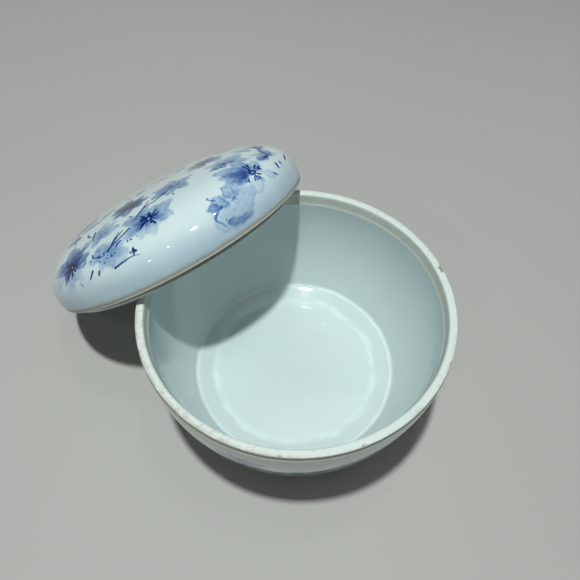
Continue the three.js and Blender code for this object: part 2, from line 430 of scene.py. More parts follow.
class Painting:
    """Washes of thin blue and strokes of thick blue, as brush marks on a flat sheet."""

    def __init__(self):
        self.petals = []
        self.strokes = []

    def petal(self, base, tip, width, strength, violet=0.0, edge=0.25):
        self.petals.append((np.array(base, float), np.array(tip, float), width, strength, violet, edge))

    def stroke(self, points, widths, strength):
        """A line through the points. widths are at each point, or one for all."""
        points = [np.array(p, float) for p in points]
        if not isinstance(widths, (list, tuple)):
            widths = [widths] * len(points)
        for k in range(len(points) - 1):
            self.strokes.append((points[k], points[k + 1], widths[k], widths[k + 1], strength))

    def curved(self, start, middle, end, widths, strength):
        """A stroke on a bent line, from start to end by way of middle's pull."""
        start, middle, end = (np.array(p, float) for p in (start, middle, end))
        steps = np.linspace(0, 1, 7)
        line = [(1 - t) ** 2 * start + 2 * t * (1 - t) * middle + t**2 * end for t in steps]
        at = np.linspace(0, 1, len(widths))
        self.stroke(line, [float(np.interp(t, at, widths)) for t in steps], strength)

    def dots(self, centres, size, strength):
        for x, y in centres:
            self.stroke([(x - size / 6, y), (x + size / 6, y)], size, strength)

    def spread(self, centre, share, washes, violet=0.0):
        """Washes from part of the way out of a centre. They are (x and y of the tip, width, strength)."""
        for x, y, width, strength in washes:
            self.petal(part_way(centre, (x, y), share), (x, y), width, strength, violet)

    def flower(self, centre, petals, stamens, strength, violet=0.0):
        """petals are (degrees, length, width, share of strength). stamens are (inner, outer, count)."""
        centre = np.array(centre, float)

        def at(degrees, reach):
            a = math.radians(degrees)
            return centre + np.array([math.cos(a), math.sin(a)]) * reach

        for degrees, length, width, share in petals:
            self.petal(at(degrees, 1.4), at(degrees, length), width, strength * share, violet)
        inner, outer, count = stamens
        for k in range(count):
            degrees = 360 * k / count + 9 * math.sin(2.3 * k + centre[0])
            reach = outer * (0.84 + 0.2 * math.sin(1.7 * k + centre[1]))
            start = inner + 0.7 + 0.3 * math.sin(3.1 * k)
            width = 0.66 + 0.2 * math.sin(2.9 * k + 1)
            self.stroke([at(degrees, start), at(degrees, reach)], [0.45, width], 3.8 * strength)
        ring = [at(30 * k, inner) for k in range(13)]
        self.stroke(ring, 0.8, 3.6 * strength)

    def looked_at(self, places):
        """The painting's fields at places (n, 2): see the dict at the end."""
        bend = np.zeros_like(places)
        for size, pull in ((5, 0.45), (2.2, 0.22), (0.9, 0.18)):
            bend += np.column_stack([wave(places, size, 3), wave(places, size, 4)]) * pull
        wet = places + bend
        wash = np.zeros(len(places))
        violet = np.zeros(len(places))
        total = np.full(len(places), 1e-6)
        for base, tip, width, strength, tint, edge in self.petals:
            length = np.linalg.norm(tip - base)
            out = (tip - base) / length
            near = np.abs(wet - (base + tip) / 2).max(axis=1) < length / 2 + width + 1
            local = wet[near] - base
            x = local @ out / length
            y = local @ np.array([-out[1], out[0]])
            inside = np.clip(x, 0, 1)
            opening = 0.35 + 0.65 * np.sin(math.pi / 2 * np.minimum(inside / PETAL_WIDEST, 1))
            closing = np.sqrt(1 - (np.maximum(inside - PETAL_WIDEST, 0) / PETAL_END) ** 2)
            half = width / 2 * opening * closing
            depth = half - np.hypot(y, (x - inside) * length)
            body = np.clip(depth / (0.8 + 0.8 * inside) + 0.5, 0, 1)
            body = body * body * (3 - 2 * body)
            pooled = np.exp(-(((depth - POOL_DEPTH) / POOL_WIDTH) ** 2))
            amount = strength * (body * (1.4 - 0.8 * inside) + edge * pooled)
            wash[near] += amount**BLEND
            violet[near] += amount * tint
            total[near] += amount
        ink = np.full(len(places), NO_INK)
        tone = np.zeros(len(places))
        for start, end, width, end_width, strength in self.strokes:
            near = np.abs(places - (start + end) / 2).max(axis=1) < np.abs(end - start).max() / 2 + 2.5
            line = end - start
            t = np.clip((places[near] - start) @ line / max(line @ line, 1e-9), 0, 1)
            gap = np.linalg.norm(places[near] - start - t[:, None] * line, axis=1)
            depth = (width + (end_width - width) * t) / 2 - gap
            nearer = depth > ink[near]
            spots = np.flatnonzero(near)[nearer]
            ink[spots] = depth[nearer]
            tone[spots] = strength
        return {
            "wash": wash ** (1 / BLEND),  # how much pigment lies in the washes
            "violet": violet / total,  # 0 is cobalt, 1 is a violet grey
            "ink": ink,  # how deep inside a stroke, in mm, below zero outside
            "ink_tone": tone,  # how much pigment the nearest stroke has
        }


def wanted_for(painting, to_sheet):
    """How finely the mesh is split: once in the washes, twice along the strokes."""

    def wanted(angle, along):
        places, on_sheet = to_sheet(angle, along)
        fields = painting.looked_at(places)
        return on_sheet * ((fields["wash"] > 0.04) + (fields["ink"] > -0.7))

    return wanted


def vertex_fields(painting, to_sheet, angle, along, places):
    """What the materials read on each vertex: the painting there, and where the vertex lies."""
    sheet, on_sheet = to_sheet(angle, along)
    fields = {name: values * on_sheet for name, values in painting.looked_at(sheet).items()}
    fields["ink"] = np.where(on_sheet, fields["ink"], NO_INK)
    fields["along"] = along
    fields["local"] = places
    return fields


def paint_middle_flower(p):
    """The full flower half-way up the lid, with its grass and the speckled petals below it."""
    centre = (41.3, -23.4)
    petals = [(92, 10.2, 6.5, 0.85), (39, 9, 5.5, 0.85), (5, 6.5, 4.5, 0.45), (-27, 8.4, 5.2, 0.6)]
    petals += [(-60, 8.2, 5, 0.55), (-98, 10, 5.6, 0.85), (-152, 11, 5.8, 0.9)]
    petals += [(-172, 7, 4.5, 0.8), (163, 8.2, 5, 0.8), (126, 6.8, 4.5, 0.6)]
    p.flower(centre, petals, (1.2, 4.9, 14), 1)
    washes = [(40.9, -18, 3, 1.7), (46, -19.6, 2.4, 1.6), (41.3, -29.2, 3.2, 2.1)]
    washes += [(37.3, -28.2, 2.8, 1.7), (36, -24.2, 1.4, 1.6), (36.6, -21, 1.8, 1.1)]
    p.spread(centre, 0.3, washes)
    p.petal((36, -25), (30.5, -28.5), 5, 0.75)
    p.petal((38.5, -28.5), (38, -34), 5, 0.6)
    p.petal((34, -22.5), (32, -18.5), 4, 0.55)
    p.curved((36.3, -30.2), (36.6, -33.5), (34.9, -39.5), [0.8, 0.75, 0.5], 3.4)
    p.curved((33.8, -32), (34, -35.5), (34.9, -40.5), [0.5, 0.65, 0.6], 3.6)
    p.curved((32.7, -33.5), (33.2, -37), (35, -40), [0.55, 0.65, 0.5], 3.4)
    p.curved((34.6, -39.2), (34.9, -40.8), (34.1, -42), [0.6, 0.6, 0.5], 3)
    p.curved((37.6, -35.8), (36.8, -37.5), (37.5, -39), [0.6, 0.9, 0.6], 2.4)
    p.petal((29, -44.5), (43.5, -41.5), 8.5, 0.55, 0, 0.1)
    p.petal((35, -41), (28.8, -42.5), 5, 0.95)
    p.petal((35, -40), (31.5, -38.8), 2.6, 0.6)
    p.petal((36, -42), (43.2, -38.6), 4.6, 0.75)
    p.petal((36, -41), (38.5, -36.5), 4, 0.8)
    p.petal((37, -42), (40.5, -45.5), 4.4, 0.7)
    p.petal((33, -45), (28.5, -48.8), 3.4, 0.7)
    p.petal((35, -44), (36, -48), 4, 0.5)
    p.curved((27.3, -45.6), (28.5, -46.8), (30.2, -46), [0.7, 0.8, 0.5], 2.3)
    p.curved((30.2, -45.8), (32.5, -45.6), (34.4, -43.4), [0.5, 0.6, 0.45], 2.2)
    p.dots([(36.6, -44), (35.8, -42.9), (38.9, -41), (36.4, -45.9), (28.6, -48)], 0.7, 2.2)
    p.dots([(33.4, -43), (35.2, -41.7), (31.6, -44.8), (38, -42.6), (33.6, -46.6)], 0.8, 2.3)


def paint_insect_and_dashes(p):
    """The small dark marks on the white glaze below the flowers."""
    p.dots([(41, -35), (42.1, -33.8)], 0.75, 3.2)
    p.dots([(43.6, -31.6)], 0.6, 2.8)
    p.curved((45.4, -36.2), (46.3, -37.2), (47.4, -36.2), [0.9, 1.3, 0.7], 4)
    p.dots([(45.5, -38.1), (46.9, -37.6)], 0.75, 3.6)
    p.stroke([(42.2, -45.9), (44.5, -42.4), (46.7, -39.1)], [0.75, 0.5, 0.4], 3.8)
    p.curved((46.7, -39.1), (48, -37.8), (49.9, -36.5), [0.5, 0.4, 0.25], 2)
    p.stroke([(32, -50.9), (31.9, -54.1)], [1, 0.6], 3.4)
    p.stroke([(35.5, -49.8), (35.9, -51.1)], [1, 0.7], 3.4)
    p.stroke([(26.2, -57.1), (28.1, -58.1)], [0.55, 0.45], 2.8)


def paint_low_flower(p):
    """The flower near the edge that stands on the table, and the pale leaves above it."""
    centre = (16.8, -53)
    petals = [(150, 11.5, 7.5, 1), (122, 8.5, 5.5, 1), (86, 8, 5, 1.1), (47, 9, 5.2, 1)]
    petals += [(25, 9, 4, 0.8), (-10, 9.5, 5, 0.26), (-55, 7.5, 5.5, 0.32)]
    petals += [(-105, 6.5, 4.5, 1.1), (-158, 10, 4.8, 1.1), (187, 12.5, 5, 1)]
    p.flower(centre, petals, (1.1, 5.2, 12), 1.7, 0.14)
    washes = [(19.8, -48.8, 2.4, 1.7), (21.9, -51.2, 1.4, 1.8), (14.2, -49, 2.8, 1.6)]
    washes += [(11.4, -52.3, 2.4, 1.6), (10.8, -56, 2.2, 1.8), (15.6, -58.2, 2.4, 1.7)]
    p.spread(centre, 0.3, washes, 0.15)
    p.petal((17.5, -47), (17.2, -40.5), 5, 0.8, 0.2)
    p.petal((8, -55), (1, -58), 5.5, 0.6, 0.5)
    p.petal((17, -58), (22, -62), 6.5, 0.2)
    p.petal((12, -59), (5, -62.5), 5, 0.26, 0.4)
    p.curved((8.8, -38), (11.5, -39.4), (14.2, -38.9), [0.7, 1.1, 0.6], 3.4)
    p.curved((13.4, -36), (15.5, -37.2), (19.2, -40.2), [0.6, 1.1, 0.7], 3.4)
    p.petal((22.5, -36.5), (22.5, -42), 5.2, 1)
    p.petal((20, -36), (14.8, -31.5), 4.6, 0.7, 0.2)
    p.petal((21, -35.5), (21.4, -29.8), 4.4, 0.6, 0.2)
    p.petal((23, -35.5), (27.6, -31.2), 4.4, 0.75)
    p.petal((22, -37.5), (27.4, -35.2), 3.4, 0.7)
    p.petal((21, -37), (15.2, -38.2), 4, 0.7, 0.3)


def paint_violet_flower(p):
    """The flower near the crown."""
    centre = (17.6, -19.6)
    petals = [(100, 6.5, 4.6, 1.1), (45, 7.5, 4.6, 1), (10, 8, 4.4, 0.9), (-40, 8.5, 4.8, 0.7)]
    petals += [(-88, 7.5, 4.6, 1), (-140, 8, 4.8, 0.9), (195, 10, 4.8, 0.9), (160, 10.5, 4.6, 0.8)]
    p.flower(centre, petals, (1.2, 4.6, 11), 2.6, 0.4)
    for tip in ((22.3, -15.6), (17.2, -25.8), (10.5, -22), (17, -14.6)):
        p.petal(centre, tip, 2.6, 2.3, 0.4)
    p.stroke([(19.5, -18.6), (24.2, -20.6)], [0.7, 0.4], 2.4)
    p.stroke([(14.6, -17.6), (8.5, -16.8)], [0.6, 0.4], 2)


def paint_stems(p):
    """The stems on the crown, and the pale leaves they carry."""
    p.curved((31.6, -8.6), (33.6, -13.5), (31.4, -20.2), [1.1, 0.9, 0.8], 3.2)
    p.curved((28.6, -15.6), (31.2, -19), (33.3, -24.4), [0.7, 0.9, 0.8], 3.4)
    p.curved((28.2, -25.8), (29.6, -24.6), (31, -25.6), [0.6, 0.8, 0.4], 2)
    p.stroke([(37.7, -8.7), (39.2, -9.2)], [0.7, 0.4], 2.4)
    for *wash, violet in (
        (29.8, -13.4, 5.8, 1.4, 0.2),
        (23, -9, 5.4, 1.2, 0.3),
        (35.8, -9.6, 4.8, 1.1, 0),
        (22.6, -1.4, 5.4, 1, 0.4),
        (37.8, -2.4, 5.4, 1.1, 0.2),
        (30.4, 4, 5.4, 0.9, 0.3),
    ):
        p.spread((30.5, -4.5), 0.1, [wash], violet)
    p.stroke([(30.8, -1.8), (32.6, -3)], [0.6, 0.8], 2)


def paint_high_flower(p):
    """The flower high on the steep side."""
    centre = (53.7, 18.8)
    petals = [(181, 11.5, 6.4, 0.9), (206, 8.5, 5, 0.8), (228, 13.2, 8, 1.05), (251, 12.8, 5, 0.95)]
    petals += [(275, 13.4, 5.6, 1), (291, 11, 3, 0.9), (137, 8.6, 5.2, 0.8), (105, 5.6, 4, 0.35)]
    p.flower(centre, petals, (1.15, 2.6, 8), 1)
    for tip in ((51.2, 24.4), (49.9, 23.4), (52.9, 23.8), (47.8, 20.6), (47.7, 18.9), (56, 21.4)):
        p.stroke([part_way(centre, tip, 0.5), tip], [0.4, 0.85], 4)
    for y in (20.4, 19.1, 17.9, 16.7):
        p.stroke([(56.2, centre[1] + (y - centre[1]) * 0.5), (58.3, y)], [0.35, 0.6], 3.6)
    washes = [(53.5, 12, 3.4, 1.5), (50.2, 13.6, 3.2, 1.5), (56.4, 9.6, 2.4, 1.5)]
    washes += [(49.5, 8.4, 4.4, 1.2), (48.6, 19.4, 2.4, 1.9), (54.8, 7.2, 2.4, 1.3)]
    p.spread(centre, 0.35, washes)
    p.dots([(57, 14.3), (57.9, 13.7), (57.3, 12.8)], 0.8, 2.8)
    p.petal((54.8, 23.4), (57.8, 26.6), 4.4, 0.2, 0, 1.4)
    p.petal((59.2, 19.4), (61.8, 12.4), 5.6, 0.18, 0, 1.5)


def paint_big_petal(p):
    """The big pale petal below the high flower, with the curled leaves at its side."""
    p.petal((61.5, 12), (66.5, -7.5), 13, 0.3, 0, 0.7)
    p.petal((60, 9), (62.5, -7.5), 7, 0.25, 0, 0.3)
    p.petal((69.4, -4.4), (69.2, 6.5), 2.4, 0.75, 0, 0.5)
    p.petal((67.2, -5.8), (69.8, 0.5), 3, 0.8, 0, 0.4)
    p.petal((61, 3.4), (55.9, 3), 5.4, 0.75, 0, 0.9)
    p.petal((60.4, 5.2), (57.8, 7.4), 2.6, 0.7, 0, 0.6)
    p.petal((62.2, -1.2), (57.4, -3.4), 5.6, 0.75, 0, 0.8)
    p.petal((60.8, -3.6), (59.6, -7.8), 3.6, 1.3, 0, 0.5)
    p.curved((60.9, 3.6), (61.7, 2.4), (61.8, 1), [0.4, 0.6, 0.3], 0.9)
    p.curved((61.2, -3), (61.9, -3.6), (62, -5), [0.4, 0.8, 0.4], 1)
    p.curved((57.8, -3.4), (56.6, -4.6), (55.2, -5.2), [0.7, 0.55, 0.6], 1.7)
    p.curved((55.2, -5.2), (54.6, -4.9), (54.8, -4.2), [0.6, 0.6, 0.4], 1.6)
    p.curved((62.4, -5.6), (62.5, -8.2), (63.8, -9), [0.4, 1.1, 0.9], 1.7)
    p.curved((64, -9), (65.4, -8.8), (66.2, -7.6), [0.8, 0.7, 0.4], 1.6)
    p.curved((66, -7.8), (67.2, -8), (68.4, -6.8), [0.5, 0.7, 0.3], 1.4)
    p.dots([(65.6, -5), (64.9, -6), (66.3, -5.9)], 0.5, 1.8)


def paint_beyond_crown(p):
    """Leaves, a flower and stems beyond the crown, and the dashes beside them."""
    for leaf in (
        ((37.5, 18.5), (33.6, 26.4), 6.4, 0.8),
        ((38.5, 18.5), (42.2, 25), 5, 0.75),
        ((37, 17.5), (31.4, 18.6), 5.4, 0.8),
        ((37, 17), (33.2, 11.8), 5, 0.9),
        ((38, 16.5), (38.8, 10.4), 4.2, 1.4),
        ((38.2, 17), (41.4, 14), 2.8, 1.3),
    ):
        p.petal(*leaf, 0.1)
    p.curved((36.8, 15), (39.2, 16.6), (40.2, 20.4), [0.6, 0.9, 0.5], 2.1)
    p.dots([(40.2, 13.6), (38.9, 11.8)], 0.9, 2.4)
    petals = [(130, 8.5, 5, 1), (75, 7, 4.6, 1), (25, 8.5, 4.8, 0.9), (-40, 8, 4.6, 0.9)]
    petals += [(-75, 9.5, 4.4, 0.8), (-120, 7.5, 4.6, 0.9), (175, 8, 4.6, 0.8)]
    p.flower((20.6, 17.4), petals, (1.2, 4.4, 10), 1.4, 0.75)
    for leaf in (
        ((34, 38), (24, 42.4), 5, 1.5, 0.7),
        ((31, 40), (24.6, 37.4), 4.6, 1, 0.7),
        ((43, 36.2), (35, 37.4), 5, 1.1, 0.3),
        ((43, 35), (41, 29.4), 5.4, 0.8, 0.1),
        ((44.5, 34), (46.8, 27.8), 4, 1.2, 0),
        ((43.5, 36), (40.4, 40.2), 4.4, 0.5, 0),
        ((33, 33), (25.4, 30.4), 6.4, 0.6, 0.4),
    ):
        p.petal(*leaf)
    p.curved((33, 37.6), (38, 35), (43, 35.4), [0.5, 1.1, 0.8], 2.5)
    p.curved((43, 35.4), (45.6, 33.4), (46.6, 28.4), [0.8, 0.8, 0.4], 2.3)
    p.stroke([(40.6, 46.2), (43.2, 44.6), (46.1, 42.7)], [0.6, 0.9, 0.9], 3.6)
    p.stroke([(49.2, 37), (50.6, 36.6)], [0.9, 0.8], 3.2)
    p.stroke([(50.7, 33.6), (53.4, 33.2)], [1.2, 0.9], 3.6)
    p.stroke([(56.4, 28.1), (57.4, 29.4)], [1, 0.8], 3.2)


def paint_far_side(p):
    """The side away from the bowl: two flowers joined by a stem, with leaves."""
    p.petal((2, -40), (-7, -44), 4.6, 1.3, 0.7)
    p.petal((4, -30), (-2, -36), 4.6, 1, 0.7)
    p.petal((3, -28), (0, -21), 4.6, 0.9, 0.6)
    p.curved((4, -44), (-2, -40), (-7, -38), [0.6, 1, 0.5], 3)
    p.curved((5, -12), (0, -14), (-7, -12), [0.5, 0.9, 0.5], 2.6)
    p.petal((6, -10), (0, -6), 4.6, 0.9, 0.6)
    p.petal((5, 6), (-2, 2), 4.6, 0.9, 0.7)
    p.petal((8, 10), (2, 15), 5, 0.9, 0.7)
    p.petal((12, 30), (4, 33), 5, 1.1, 0.7)
    p.petal((14, 33), (8, 39), 4.6, 1, 0.6)
    p.curved((18, 30), (12, 33), (4, 31), [0.6, 1, 0.5], 2.8)
    petals = [(20, 9, 5.2, 0.9), (65, 8, 4.8, 0.8), (110, 9, 5, 0.9), (155, 8.5, 4.8, 0.8)]
    petals += [(200, 9.5, 5, 0.9), (245, 8, 4.6, 0.8), (290, 9, 5, 0.9), (335, 8, 4.6, 0.7)]
    p.flower((-12, -33), petals, (1.4, 4.6, 12), 1, 0.4)
    petals = [(5, 9, 5.2, 0.8), (50, 8.5, 5, 0.9), (95, 9.5, 5, 0.8), (140, 8, 4.8, 0.9)]
    petals += [(185, 9, 5, 0.8), (230, 8.5, 5, 0.9), (275, 9, 5, 0.8), (320, 8, 4.6, 0.9)]
    p.flower((-30, 22), petals, (1.4, 4.6, 12), 1, 0.1)
    p.curved((-14, -24), (-22, -4), (-29, 13), [0.5, 0.8, 0.5], 2.4)
    p.curved((-20, -8), (-27, -9), (-33, -6), [0.6, 0.6, 0.3], 2.4)
    for leaf in (
        ((-21, -9), (-15, -3.5), 5),
        ((-24, 0), (-32, -3), 5),
        ((-26, 5), (-20.5, 10), 4.6),
        ((-33, -6), (-39, -4), 4.6),
        ((-33, -6.5), (-37, -12), 4.8),
        ((-21, -34), (-28, -30), 4.8),
        ((-22, -36), (-29, -40), 4.8),
        ((-39, 26), (-45, 31), 5),
        ((-38, 29), (-38, 36), 4.6),
    ):
        p.petal(*leaf, 0.65, 0.3)
    p.stroke([(-44, 12), (-48, 9)], [0.6, 0.9], 3)
    p.stroke([(-47, 16), (-50, 15)], [0.5, 0.7], 3)
    p.dots([(-42, -20), (-44, -17), (-20, -47), (-17, -49)], 0.8, 3)


def paint_lid():
    p = Painting()
    paint_middle_flower(p)
    paint_insect_and_dashes(p)
    paint_low_flower(p)
    paint_violet_flower(p)
    paint_stems(p)
    paint_high_flower(p)
    paint_big_petal(p)
    paint_beyond_crown(p)
    paint_far_side(p)
    return p


def paint_bowl():
    """Three sprays round the outer wall, the middle one mirrored."""
    p = Painting()
    for middle, flip, drop in ((-60, 1, 9), (70, -1, 11), (165, 1, 10)):
        x = math.radians(middle) * RIM_RADIUS

        def at(dx, dy):
            return (x + flip * dx, drop + dy)

        petals = [(15, 9, 5.2, 0.9), (60, 8, 4.8, 0.8), (105, 9, 5, 0.9), (150, 8.5, 4.8, 0.8)]
        petals += [(195, 9.5, 5, 0.9), (240, 7, 4.6, 0.8), (285, 6.5, 5, 0.9), (330, 8, 4.6, 0.7)]
        p.flower(at(-4, 7), petals, (1.4, 4.4, 12), 1.05, 0.45)
        p.curved(at(2, 10), at(12, 16), at(22, 12), [0.5, 0.8, 0.4], 2.4)
        p.curved(at(-12, 9), at(-20, 13), at(-27, 8), [0.5, 0.7, 0.3], 2.4)
        for base, tip, width, strength in (
            ((10, 13), (7, 19), 4.8, 0.7),
            ((14, 14), (20, 19), 5, 0.8),
            ((15, 13.5), (15.5, 6.5), 4.6, 0.7),
            ((21, 12.5), (28, 10), 4.6, 0.7),
            ((-17, 10), (-20, 16.5), 4.8, 0.7),
            ((-20, 10.5), (-21, 3.5), 4.6, 0.6),
            ((-26, 8.5), (-32, 8), 4.2, 0.6),
        ):
            p.petal(at(*base), at(*tip), width, strength, 0.35)
        p.stroke([at(30, 4), at(33, 3)], [0.6, 0.9], 3.2)
        p.stroke([at(31, 7), at(34.5, 7)], [0.5, 0.8], 3.2)
        p.dots([at(-35, 12), at(-37, 10), at(-8, 19), at(-6, 20.5)], 0.8, 3)
    return p


# ---- the bowl

TURNING_PITCH = 5.2
TURNING_RISE = 0.004
RIM_WEAR = 0.04
RIM_CHIPS = (  # azimuth in degrees, across the rim from its outer corner, length, width, depth
    (60, 0.4, 1.7, 0.8, 0.5),
    (-25.1, 0.2, 0.9, 0.5, 0.25),
    (-51, 0.2, 0.7, 0.5, 0.2),
    (18, 0.1, 0.8, 0.5, 0.2),
    (-88, 0.2, 0.6, 0.5, 0.15),
    (143, 0.3, 1.2, 0.6, 0.25),
    (-140, 0.2, 0.9, 0.5, 0.2),
)


def wrapped(angle):
    """Angles brought to between minus and plus half a turn."""
    return (angle + math.pi) % FULL_TURN - math.pi


def make_bowl():
    section = bowl_section()
    marks = section.marks
    outline = section.along()
    painting = paint_bowl()

    def chip_nearness(angle, along):
        """How near each place is to a chip, from 0 to 1, and how deep the chips are there."""
        near, depth = np.zeros(len(angle)), np.zeros(len(angle))
        corner = marks["rim outside"] + RIM_ROUND * 0.8
        for azimuth, across, length, width, deep in RIM_CHIPS:
            x = wrapped(angle - math.radians(azimuth)) * RIM_RADIUS / length
            y = (along - corner - across) / width
            ragged = 0.25 * np.sin(5.1 * x + azimuth) + 0.2 * np.sin(4.3 * y + 2 * azimuth)
            reach = np.hypot(x, y) + ragged * np.hypot(x, y)
            near = np.maximum(near, np.exp(-(reach**2)))
            depth = np.maximum(depth, deep * np.clip(1.3 - reach, 0, 1))
        return near, depth

    def to_sheet(angle, along):
        height = np.interp(along, outline, section.points[:, 1])
        on_sheet = (along > marks["wall bottom"]) & (along < marks["shoulder"])
        return np.column_stack([angle * RIM_RADIUS, BOWL_HEIGHT - height]), on_sheet

    def wanted(angle, along):
        near, _ = chip_nearness(angle, along)
        rim = (along > marks["band bottom"]) & (along < marks["ledge"])
        levels = wanted_for(painting, to_sheet)(angle, along)
        return np.maximum(levels, np.where((near > 0.15) & rim, MOST_SPLITS, 0))

    def relief(angle, along, radius):
        """Faint turning rings on the floor, an uneven worn rim, and its chips."""
        level = polar(radius, angle)
        on_floor = np.clip((along - marks["well wall"]) / 4, 0, 1)
        turning = TURNING_RISE * np.sin(radius * FULL_TURN / TURNING_PITCH + 0.6 * np.sin(angle))
        turning = turning * np.clip(radius / 12, 0, 1)
        on_rim = np.clip((along - marks["band bottom"]) / 0.5, 0, 1)
        on_rim *= np.clip((marks["rim inside"] + 0.5 - along) / 0.5, 0, 1)
        worn = -RIM_WEAR + RIM_WEAR * wave(level, 9, 11) + 0.025 * wave(level, 2.6, 12)
        soft = 0.03 * wave(level, 40, 13)
        _, depth = chip_nearness(angle, along)
        return on_floor * turning + on_rim * (worn - depth) + soft * (1 - on_rim)

    bm, layer = lathe(section)
    refine(bm, layer, wanted)
    angle, along, places = finish_shape(bm, layer, section, relief)
    fields = vertex_fields(painting, to_sheet, angle, along, places)
    fields["chip"] = np.clip(chip_nearness(angle, along)[1] / 0.2, 0, 1)
    return to_object("porcelain_bowl", bm, bowl_place(), fields), marks


# ---- the lid

EDGE_WEAR = 0.03


def make_lid():
    section = lid_section()
    marks = section.marks
    painting = paint_lid()

    def to_sheet(angle, along):
        on_sheet = along > marks["edge"] + LID_SHOULDER_HEIGHT
        return polar(marks["crown"] - along, angle), on_sheet

    def relief(angle, along, radius):
        """A dome that is a little out of true, and an uneven ground edge."""
        level = polar(radius, angle)
        soft = 0.04 * wave(level, 45, 21)
        on_edge = np.exp(-(((along - marks["edge"]) / 0.8) ** 2))
        worn = -EDGE_WEAR + EDGE_WEAR * wave(level, 3, 22)
        outside = np.clip((along - marks["edge"]) / 2, 0, 1)
        return soft * outside + worn * on_edge

    bm, layer = lathe(section)
    refine(bm, layer, wanted_for(painting, to_sheet))
    angle, along, places = finish_shape(bm, layer, section, relief)
    fields = vertex_fields(painting, to_sheet, angle, along, places)
    return to_object("porcelain_lid", bm, lid_place(section), fields), marks


# ---- material nodes


class Nodes:
    """Short names for the shader nodes. A piece's material works in mm, the floor's in metres."""

    def __init__(self, name):
        self.material = bpy.data.materials.new(name)
        self.material.use_nodes = True
        self.tree = self.material.node_tree
        self.tree.nodes.clear()
        self.output = self.tree.nodes.new("ShaderNodeOutputMaterial")

    def feed(self, socket, value):
        if isinstance(value, bpy.types.NodeSocket):
            self.tree.links.new(value, socket)
        elif isinstance(value, tuple) and len(value) == 3 and socket.type == "RGBA":
            socket.default_value = (*value, 1)
        else:
            socket.default_value = value

    def node(self, kind, **inputs):
        """A new node of a kind, with what its named sockets get."""
        node = self.tree.nodes.new("ShaderNode" + kind)
        for name, value in inputs.items():
            self.feed(node.inputs[name], value)
        return node

    def field(self, name):
        node = self.node("Attribute")
        node.attribute_name = name
        return node.outputs["Vector" if name == "local" else "Fac"]

    def math(self, operation, a, b=0.0, clamp=False):
        node = self.node("Math")
        node.operation = operation
        node.use_clamp = clamp
        self.feed(node.inputs[0], a)
        self.feed(node.inputs[1], b)
        return node.outputs[0]

    def add(self, a, b):
        return self.math("ADD", a, b)

    def times(self, a, b):
        return self.math("MULTIPLY", a, b)

    def step(self, value, low, high, to_low=0.0, to_high=1.0):
        """A smooth step: to_low at low, to_high at high."""
        node = self.node("MapRange")
        node.interpolation_type = "SMOOTHSTEP"
        for socket, number in zip(node.inputs, (value, low, high, to_low, to_high)):
            self.feed(socket, number)
        return node.outputs[0]

    def dot(self, place, direction):
        """How far the place lies in a direction."""
        node = self.node("VectorMath")
        node.operation = "DOT_PRODUCT"
        self.feed(node.inputs[0], place)
        self.feed(node.inputs[1], direction)
        return node.outputs["Value"]

    def noise(self, place, size, detail=3.0, roughness=0.5):
        """Noise whose patches are about size across."""
        node = self.node("TexNoise", Vector=place, Scale=1 / size, Detail=detail, Roughness=roughness)
        return node.outputs["Fac"]

    def wander(self, place, size, detail, reach):
        """Noise round zero, from about minus to plus half of reach."""
        return self.times(self.math("SUBTRACT", self.noise(place, size, detail), 0.5), reach)

    def mix(self, share, a, b, blend="MIX"):
        """Colour a, with a share of b mixed in. Sockets 6 and 7 are the colours, and output 2."""
        node = self.node("Mix")
        node.data_type = "RGBA"
        node.blend_type = blend
        self.feed(node.inputs["Factor"], share)
        self.feed(node.inputs[6], a)
        self.feed(node.inputs[7], b)
        return node.outputs[2]

    def multiply(self, a, b):
        return self.mix(1, a, b, "MULTIPLY")

    def power(self, colour, exponent):
        return self.node("Gamma", Color=colour, Gamma=exponent).outputs["Color"]

    def bump(self, height, rise, under=None):
        """A relief of height times rise, in mm."""
        node = self.node("Bump", Strength=1, Distance=rise * MM, Height=height)
        if under is not None:
            self.feed(node.inputs["Normal"], under)
        return node.outputs["Normal"]

    def surface(self, colour, roughness, normal):
        node = self.node("BsdfPrincipled", Roughness=roughness, Normal=normal, IOR=GLAZE_IOR)
        self.feed(node.inputs["Base Color"], colour)
        self.tree.links.new(node.outputs["BSDF"], self.output.inputs["Surface"])


COBALT = (0.368, 0.475, 0.705)  # what one unit of pigment lets through
VIOLET = (0.345, 0.385, 0.575)
IRON = (0.16, 0.12, 0.08)
CELADON = ((0.61, 0.708, 0.704), (0.635, 0.726, 0.72))  # a glaze varies between two colours
PALE_CELADON = (0.8, 0.93, 0.93)
OUTER_GLAZE = ((0.66, 0.75, 0.75), (0.69, 0.77, 0.76))
LID_GLAZE = ((0.69, 0.815, 0.82), (0.715, 0.835, 0.835))
RIM_CLEAN = (0.73, 0.81, 0.78)
RIM_WORN = (0.54, 0.51, 0.42)
RIM_STAINED = (0.48, 0.43, 0.34)
# Painted shade: the outer band's clay is much darker than the rim's, for the shade on its steep outer
# face, and darker still where stained.
BAND_CLAY_IN_SHADE = ((0.46, 0.43, 0.34), (0.32, 0.28, 0.2))  # bare clay: clean, stained
LEDGE_CLAY = ((0.61, 0.64, 0.57), (0.5, 0.48, 0.39))
FOOT_CLAY = ((0.7, 0.7, 0.64), (0.45, 0.38, 0.28))
# Painted shade: the lid's bare edge is darker than the rim's clay, for the shade on this strip that faces
# down, with its own stains.
LID_CLAY_IN_SHADE = ((0.52, 0.53, 0.47), (0.44, 0.41, 0.33))
# Painted highlight: a pale line on the lid's lowest corner, for the light it catches from the bowl below.
LID_CORNER_HIGHLIGHT = (0.8, 0.8, 0.74)
CHIP_CLAY = (0.28, 0.25, 0.17)
GLAZE_IOR = 1.5
GLAZE_ROUGHNESS = 0.05
CLAY_ROUGHNESS = 0.55


